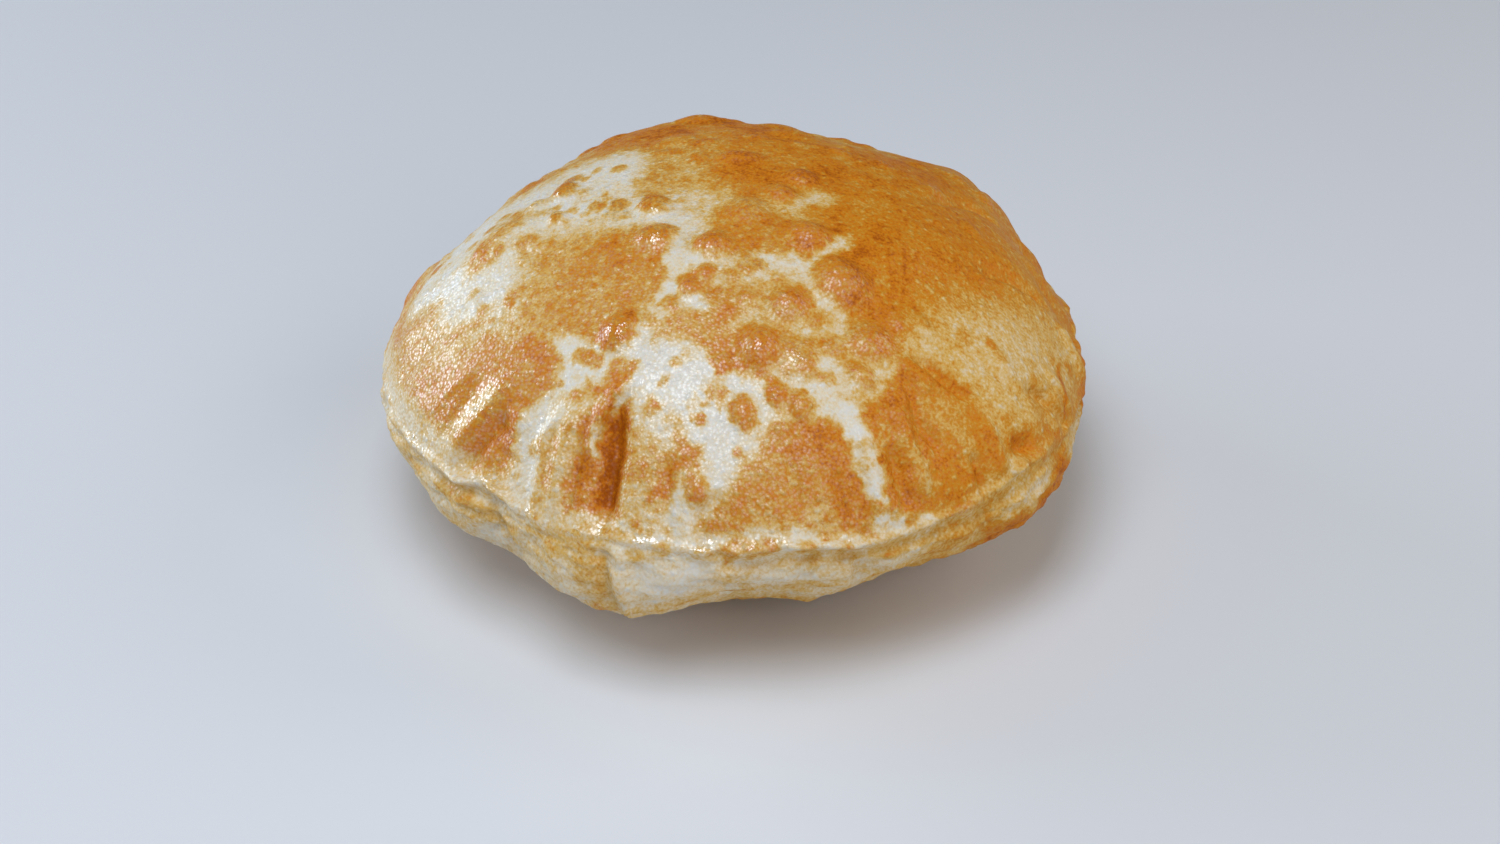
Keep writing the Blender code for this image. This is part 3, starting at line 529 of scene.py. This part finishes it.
def gathers(rng):
    """Rows like those of FOLDS, crests and grooves in turn along the rim round the back."""
    rows = []
    for index in range(GATHERS):
        at = GATHERS_FROM + (index + rng.uniform(-0.3, 0.3)) * (GATHERS_TO - GATHERS_FROM) / GATHERS
        at = at if at <= 180 else at - 360
        top = rng.uniform(*GATHER_TOPS)
        middle = (top + GATHER_END) / 2
        run = [(at + rng.uniform(-3, 3), top), (at, middle), (at + rng.uniform(-1, 1), GATHER_END)]
        rise = rng.uniform(*GATHER_RISES) * (-1) ** index
        half_width = rng.uniform(*GATHER_HALF_WIDTHS)
        rows.append((half_width, half_width, rise, run))
    return rows


def seam_knobs(rng):
    """Rows like those of BUMPS, along the seam, higher where its lip stands out further."""
    bearings, drops, lips = np.array(SEAM, float).T[:3]
    rows = []
    for _ in range(KNOBS):
        at = rng.uniform(-180, 180)
        seam_drop, lip = np.interp(at, bearings, drops), np.interp(at, bearings, lips)
        rows.append((at, seam_drop + rng.uniform(*KNOB_DROPS), rng.uniform(*KNOB_WIDTHS),
                     rng.uniform(*KNOB_LENGTHS), rng.uniform(*KNOB_SHARES) * lip,
                     rng.uniform(*KNOB_BROWNINGS)))
    return rows


def fine_blisters(rng):
    """Rows like those of BUMPS, all over the top."""
    return [(*anywhere(rng, FINE_LOWEST), rng.uniform(*FINE_SIZES), rng.uniform(*FINE_SIZES),
             rng.uniform(*FINE_RISES), rng.uniform(*FINE_BROWNINGS)) for _ in range(FINE_BLISTERS)]


def back_streaks(rng):
    """Rows like those of STROKES, over the hidden back."""
    rows = []
    for _ in range(BACK_STREAKS):
        at, fallen = rng.uniform(*STREAK_BEARINGS), rng.uniform(*STREAK_DROPS)
        run = [(at, fallen), (at + rng.uniform(*STREAK_TURNS), fallen + rng.uniform(*STREAK_FALLS))]
        rows.append((rng.uniform(*STREAK_BROWNINGS), rng.uniform(*STREAK_HALF_WIDTHS), STREAK_SOFTNESS, run))
    return rows


def shaped(points, bearing, seam, swells, folds, blisters):
    """How far the skin stands out from the smooth pillow in mm, before its bumps and its fine grain."""
    below, lip, inset = seam
    drift = CRIMP_DRIFT * np.sin(bearing * CRIMP_DRIFTS)
    crimp = 1 + CRIMP_DEPTH * np.sin(bearing * CRIMPS + drift)
    crimp += LIP_ROUGHNESS * lumps(points, 6, octaves=2, seed=4)
    rise = lip * crimp * np.exp(-(below / LIP_HALF_WIDTH) ** 2)
    rise -= inset * np.exp(-((below - INSET_BELOW) / INSET_HALF_WIDTH) ** 2)
    rise += WAVE_HEIGHT * swells
    for lobe_bearing, lobe_drop, across, down, height in LOBES:
        rise += height * np.exp(-0.5 * spot(points, lobe_bearing, lobe_drop, across, down))
    for left, right, height, run in folds:
        rise += height * fold(points, left, right, run)
    for at, fallen, width, length, height in blisters:
        rise += height * mound(spot(points, at, fallen, width / 2, length / 2)) ** BLISTER_EDGE
    return rise


def painted(points, shaken, drop, seam, behind, strokes):
    """How brown the skin is before its bumps, with the painted shade and sheen of some strokes: the plain
    top, wall and base first, then every stroke.
    """
    below, lip, _ = seam
    # The pale wall begins sharply in front, while the browning runs down into it behind.
    start, end, stray = (blend(front, back, behind) for front, back in zip(BORDER_FRONT, BORDER_BACK))
    on_wall = smooth(below + stray * lumps(points, 16, seed=13), start, end)
    browning_and_painted_light = TOP_BROWN - blend(WALL_PALER_FRONT, WALL_PALER_BACK, behind) * on_wall
    browning_and_painted_light += BASE_BROWNER * smooth(drop, *np.radians(BASE_START))
    browning_and_painted_light += BACK_PATCHES * behind * lumps(points, 30, seed=14)
    for value, half_width, softness, run in strokes:
        soft = EDGE_SOFTNESS * softness
        mask = 1 - smooth(distance_to(shaken, run), half_width - soft, half_width + soft)
        browning_and_painted_light = blend(browning_and_painted_light, value, mask)
    margin = smooth(lip, *MARGIN_LIPS) * np.exp(-((below - MARGIN_AT) / MARGIN_HALF_WIDTH) ** 2)
    return blend(browning_and_painted_light, MARGIN_BROWN, margin)


def with_bumps(points, shaken, bumps, rise, browning_and_painted_light):
    """Rise and browning with the bumps added, and how glossy the skin is on the broader ones."""
    glossy = np.zeros(len(points))
    for at, fallen, width, length, height, value in bumps:
        dome = mound(spot(points, at, fallen, width / 2, length / 2))
        glossy = np.maximum(glossy, smooth(width, *GLOSSY_WIDTHS) * dome)
        rise = rise + BUMP_SCALE * height * dome
        reach = np.sqrt(spot(shaken, at, fallen, width / 2, length / 2))
        mask = 1 - smooth(reach, *BUMP_PAINT_EDGE)
        browning_and_painted_light = browning_and_painted_light + np.maximum(TOP_BROWNING * value - browning_and_painted_light, 0) * mask
    return rise, browning_and_painted_light, glossy


def with_fine_blisters(points, fine, lobe, rise, browning_and_painted_light):
    """Rise and browning with the fine blisters added, which hardly show on the smooth left lobe."""
    for at, fallen, width, length, height, value in fine:
        away = spot(points, at, fallen, width / 2, length / 2)
        rise = rise + (1 - SMOOTH_FINE * lobe) * height * mound(away)
        mask = 1 - smooth(away, *FINE_PAINT_EDGE)
        browning_and_painted_light = browning_and_painted_light + np.maximum(value - browning_and_painted_light, 0) * (1 - lobe) * mask
    return rise, browning_and_painted_light


def with_grain(points, below, wall, lobe, rise, browning_and_painted_light):
    """Rise and browning with the close-packed blisters, dots and pimples added.

    Blisters brown before the skin between them does, so a half-browned place is dotted.
    """
    large, little = bubbles(points, LARGE_DOMES, seed=1), bubbles(points, LITTLE_DOMES, seed=2)
    right = smooth(points[:, 0], *RIGHT_SIDE)
    lively = (1 - CALM_WALL * wall) * (1 - CALM_RIGHT * right) * (1 - CALM_LOBE * lobe)
    undecided = (1 - (2 * browning_and_painted_light - 1) ** 2) * (1 - 0.6 * smooth(browning_and_painted_light, 0.45, 0.65))
    dotted = DOTTED_LARGE * large + DOTTED_LITTLE * little
    dotted = (dotted - dotted.mean()) * blend(DOTTING_SURE, DOTTING_UNDECIDED, undecided)
    dotted = dotted + PATCHES * lumps(points, 9, seed=7)
    browning_and_painted_light = browning_and_painted_light + lively * dotted + BROAD_PATCHES * lumps(points, 22, 2, seed=8)
    dots = smooth(bubbles(points, DOT_SIZE, seed=5), *DOT_EDGE) * lively
    browning_and_painted_light += DOT_BROWN * dots * (1 - browning_and_painted_light) * blend(0.3, 1.0, smooth(browning_and_painted_light, 0.05, 0.4))

    fried = smooth(browning_and_painted_light, *FRIED) * smooth(-below, 0, 6)
    packed = (1 - SMOOTH_PACKED * lobe) * (PACKED_LARGE * large + PACKED_LITTLE * little)
    rise = rise + GRAIN * lumps(points, 14, 2, seed=5) + blend(PACKED_RAW, PACKED_FRIED, fried) * packed
    mottled = 1 - smooth(distance_to(points, MOTTLED), *MOTTLED_EDGE)
    pimples = bubbles(points, PIMPLE_SIZE, seed=3)
    rise += MOTTLE_RISE * mottled * pimples + DOT_RISE * dots
    browning_and_painted_light += MOTTLE_BROWN * mottled * (pimples - pimples.mean())
    return rise, browning_and_painted_light


def with_wall(points, wall, behind, rise, browning_and_painted_light):
    """Rise and browning with the wall under the seam puffed, creased across and smudged."""
    stretched = points * WALL_STRETCH
    creases = np.abs(lumps(stretched, 8, seed=12))
    relief = WALL_PUFF * (1 - behind) * lumps(points, 13, 2, seed=16)
    relief += WALL_LUMPS * lumps(stretched, 5, seed=6) + WALL_BLISTERS * bubbles(points, 6, seed=8)
    relief -= blend(CREASES_FRONT, CREASES_BACK, behind) * creases
    smudges = WALL_SMUDGES * lumps(points, 9, seed=10) + CREASES_PALER * (creases.mean() - creases)
    return rise + wall * relief, browning_and_painted_light + wall * smudges


def oiliness(points, wall, lobe, glossy, browning_and_painted_light):
    """How much oil shines on the skin: most at the left, and least on dark spots and on the wall."""
    across = points[:, 0] + OIL_SLANT * points[:, 1]
    oil = blend(OIL_LEFT, OIL_RIGHT, smooth(across, *OIL_FADE)) + OIL_PATCHES * lumps(points, 18, 2, seed=9)
    oil *= 1 - DRY_SPOTS * smooth(browning_and_painted_light, *DRY_BROWNING)
    oil += OIL_ON_LOBE * lobe + OIL_ON_BUMPS * glossy
    oil *= 1 - DRY_WALL * wall
    return np.clip(oil, *OIL_LIMITS)


def relief_paint_and_oil(points, bearing, drop):
    """How far the real skin stands out from the smooth pillow in mm, how brown it is with its painted shade
    and sheen, and how oily it is.
    """
    rng = np.random.default_rng(SEED)
    # These first three are drawn in the solid's order, so its blisters and gathers land in the same places.
    swells = waves(points, rng)
    blisters = BLISTERS + small_blisters(rng)
    folds = FOLDS + gathers(rng)
    bumps = BUMPS + seam_knobs(rng)
    fine = fine_blisters(rng)
    strokes = back_streaks(rng) + STROKES

    below, lip, inset = below_seam(bearing, drop)
    below += SEAM_WANDER * lumps(points, 9, 2, seed=15)
    seam = below, lip, inset
    wall = smooth(below, *WALL_START)
    behind = smooth(np.cos(bearing), *BEHIND)
    lobe = smooth(distance_to(points, LEFT_LOBE), *LEFT_LOBE_EDGE)
    # Painting is done on a slightly shaken copy of the points, so no stroke has a clean outline.
    shifts = [sum(far * lumps(points, size, octaves, seed + axis) for far, size, octaves, seed in SHAKES)
              for axis in (1, 2, 3)]
    shaken = points + np.stack(shifts, -1)

    rise = shaped(points, bearing, seam, swells, folds, blisters)
    browning_and_painted_light = painted(points, shaken, drop, seam, behind, strokes)
    rise, browning_and_painted_light, glossy = with_bumps(points, shaken, bumps, rise, browning_and_painted_light)
    rise, browning_and_painted_light = with_fine_blisters(points, fine, lobe, rise, browning_and_painted_light)
    rise, browning_and_painted_light = with_grain(points, below, wall, lobe, rise, browning_and_painted_light)
    rise, browning_and_painted_light = with_wall(points, wall, behind, rise, browning_and_painted_light)
    return rise, np.clip(browning_and_painted_light, 0, 1), oiliness(points, wall, lobe, glossy, browning_and_painted_light)


def crust_mesh():
    """The whole skin as a grid of quads wrapped round from a cube, finer over the top and the front."""
    bm = bmesh.new()
    bmesh.ops.create_cube(bm, size=2)
    bmesh.ops.subdivide_edges(bm, edges=bm.edges[:], cuts=CELLS - 1, use_grid_fill=True)
    mesh = bpy.data.meshes.new("crust")
    bm.to_mesh(mesh)
    bm.free()
    coords = np.empty(len(mesh.vertices) * 3)
    mesh.vertices.foreach_get("co", coords)
    ray = np.tan(coords.reshape(-1, 3) * np.pi / 4)
    ray /= np.linalg.norm(ray, axis=1, keepdims=True)
    drop = np.arccos(np.clip(ray[:, 2], -1, 1))
    bearing = np.arctan2(ray[:, 0], -ray[:, 1])
    drop -= CROWDING * np.sin(drop)
    bearing -= FACING * np.sin(bearing)
    points = skin(bearing, drop)
    rise, browning_and_painted_light, oil = relief_paint_and_oil(points, bearing, drop)
    points += skin_axes(bearing, drop)[2] * rise[:, None]
    points[:, 2] = np.maximum(points[:, 2], 0)
    points[:, :2] -= MIDDLE
    mesh.vertices.foreach_set("co", (points * MM).ravel())
    mesh.attributes.new("browning_and_painted_light", "FLOAT", "POINT").data.foreach_set("value", browning_and_painted_light)
    mesh.attributes.new("oil", "FLOAT", "POINT").data.foreach_set("value", oil)
    mesh.polygons.foreach_set("use_smooth", [True] * len(mesh.polygons))
    mesh.update()
    return mesh


def set_inputs(shader, **inputs):
    """Set or link the inputs of a shader node: _0 is its first, and underscores are spaces in a name."""
    for name, value in inputs.items():
        socket = shader.inputs[int(name[1:])] if name[1:].isdigit() else shader.inputs[name.replace("_", " ")]
        if isinstance(value, bpy.types.NodeSocket):
            shader.id_data.links.new(value, socket)
        else:
            socket.default_value = value


def node(tree, kind, **inputs):
    """A new shader node with its inputs set or linked."""
    made = tree.nodes.new(kind)
    set_inputs(made, **inputs)
    return made


def attribute(tree, name):
    """One of the values painted on the points of the mesh."""
    made = tree.nodes.new("ShaderNodeAttribute")
    made.attribute_name = name
    return made.outputs["Fac"]


def reckoned(tree, operation, *values, kind="ShaderNodeMath"):
    """The result of one step of arithmetic on numbers and sockets."""
    made = node(tree, kind, **{f"_{index}": value for index, value in enumerate(values)})
    made.operation = operation
    return made.outputs[0]


def ranged(tree, value, from_range, to_range=(0, 1)):
    """A socket's value carried from one range over to another, and held inside it."""
    made = node(tree, "ShaderNodeMapRange", Value=value, From_Min=from_range[0], From_Max=from_range[1],
                To_Min=to_range[0], To_Max=to_range[1])
    return made.outputs[0]


def crust_colour(tree, place, pimple):
    """Colour of the crust: the painted browning with its painted shade and sheen, broken up by fine noise,
    and paler on each pimple.
    """
    mottle = node(tree, "ShaderNodeTexNoise", Vector=place, Scale=MOTTLE_SCALE, Detail=3).outputs["Fac"]
    speckle = node(tree, "ShaderNodeTexNoise", Vector=place, Scale=SPECKLE_SCALE, Detail=2).outputs["Fac"]
    coarse = reckoned(tree, "MULTIPLY", mottle, MOTTLE_SHARE)
    grain = reckoned(tree, "MULTIPLY_ADD", speckle, SPECKLE_SHARE, coarse)
    painted_level = reckoned(tree, "ADD", attribute(tree, "browning_and_painted_light"), grain)
    level = reckoned(tree, "SUBTRACT", painted_level, PATTERN_LEVEL)
    paler = reckoned(tree, "MULTIPLY_ADD", pimple, PIMPLE_BROWNING, level)
    ramp = node(tree, "ShaderNodeValToRGB", Fac=paler)
    while len(ramp.color_ramp.elements) < len(CRUST_COLOURS):
        ramp.color_ramp.elements.new(0.5)
    for element, (position, colour) in zip(ramp.color_ramp.elements, CRUST_COLOURS):
        element.position = position
        element.color = (*colour, 1)
    return ramp.outputs["Color"]


def crust_material():
    """Cream to deep brown by the painted attribute, finely domed, with oil lying on the domes."""
    material = bpy.data.materials.new("fried crust")
    material.use_nodes = True
    tree = material.node_tree
    place = tree.nodes.new("ShaderNodeTexCoord").outputs["Object"]
    scattered = node(tree, "ShaderNodeTexVoronoi", Vector=place, Scale=PIMPLE_SCALE)
    pimple = ranged(tree, scattered.outputs["Distance"], PIMPLE_REACH)

    shake = node(tree, "ShaderNodeTexNoise", Vector=place, Scale=SHAKE_SCALE, Detail=1).outputs["Color"]
    shaken = reckoned(tree, "MULTIPLY", shake, (SHAKE, SHAKE, SHAKE), kind="ShaderNodeVectorMath")
    moved = reckoned(tree, "ADD", place, shaken, kind="ShaderNodeVectorMath")
    domes = node(tree, "ShaderNodeTexVoronoi", Vector=moved, Scale=DOME_SCALE).outputs["Distance"]
    bump = node(tree, "ShaderNodeBump", Height=domes, Strength=DOME_BUMP[0], Distance=DOME_BUMP[1])
    bump.invert = True
    raised = node(tree, "ShaderNodeBump", Height=pimple, Strength=PIMPLE_BUMP[0], Distance=PIMPLE_BUMP[1],
                  Normal=bump.outputs["Normal"]).outputs["Normal"]

    oil = attribute(tree, "oil")
    shine = ranged(tree, domes, *DOME_SHINE)
    set_inputs(
        tree.nodes["Principled BSDF"],
        Base_Color=crust_colour(tree, place, pimple),
        Roughness=0.5,
        Specular_IOR_Level=0.06,
        Normal=raised,
        Subsurface_Weight=0.08,
        Subsurface_Radius=(0.003, 0.0015, 0.0007),
        Subsurface_Scale=1.0,
        Coat_Weight=reckoned(tree, "MULTIPLY", oil, shine),
        Coat_Roughness=ranged(tree, oil, *OIL_ROUGHNESS),
        Coat_IOR=2.4,
        Coat_Normal=raised,
    )
    return material


def add_floor():
    """A plain floor that carries the poori's shadow."""
    material = bpy.data.materials.new("floor")
    material.use_nodes = True
    set_inputs(material.node_tree.nodes["Principled BSDF"], Base_Color=(*FLOOR_COLOUR, 1),
               Roughness=FLOOR_ROUGHNESS)
    bpy.ops.mesh.primitive_plane_add(size=FLOOR_SIZE)
    floor = bpy.context.object
    floor.name = "floor"
    floor.data.materials.append(material)


def add_light(name, place, width, height, watts, colour):
    """A soft rectangular lamp aimed at the poori."""
    lamp = bpy.data.lights.new(name, "AREA")
    lamp.shape = "RECTANGLE"
    lamp.size = width
    lamp.size_y = height
    lamp.energy = watts
    lamp.color = colour
    light = bpy.data.objects.new(name, lamp)
    light.location = place
    aim = Vector(LIGHTS_AIM) - Vector(place)
    light.rotation_euler = aim.to_track_quat("-Z", "Y").to_euler()
    bpy.context.scene.collection.objects.link(light)


def add_camera():
    """The photograph's view, fitted to the rim of the plate; the rim fits other lenses equally well."""
    data = bpy.data.cameras.new("camera")
    data.lens = LENS
    data.sensor_width = 36
    camera = bpy.data.objects.new("camera", data)
    turn = Matrix.Rotation(np.radians(CAMERA_TURN), 4, "Z")
    tilt = Matrix.Rotation(np.radians(90 - CAMERA_DOWN), 4, "X")
    roll = Matrix.Rotation(np.radians(CAMERA_ROLL), 4, "Z")
    place = Vector((CAMERA_AT[0] - MIDDLE[0], CAMERA_AT[1] - MIDDLE[1], CAMERA_AT[2])) * MM
    camera.matrix_world = Matrix.Translation(place) @ turn @ tilt @ roll
    bpy.context.scene.collection.objects.link(camera)
    bpy.context.scene.camera = camera


def set_world():
    """An even, faint light from all round."""
    world = bpy.data.worlds.new("studio")
    world.use_nodes = True
    set_inputs(world.node_tree.nodes["Background"], Color=(*WORLD_COLOUR, 1), Strength=WORLD_STRENGTH)
    bpy.context.scene.world = world


crust = bpy.data.objects.new("poori_crust", crust_mesh())
crust.data.materials.append(crust_material())
bpy.context.scene.collection.objects.link(crust)
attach(crust, "root")
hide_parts("poori")

add_floor()
for light in LIGHTS:
    add_light(*light)
set_world()
add_camera()
bpy.context.scene.view_settings.view_transform = "Standard"
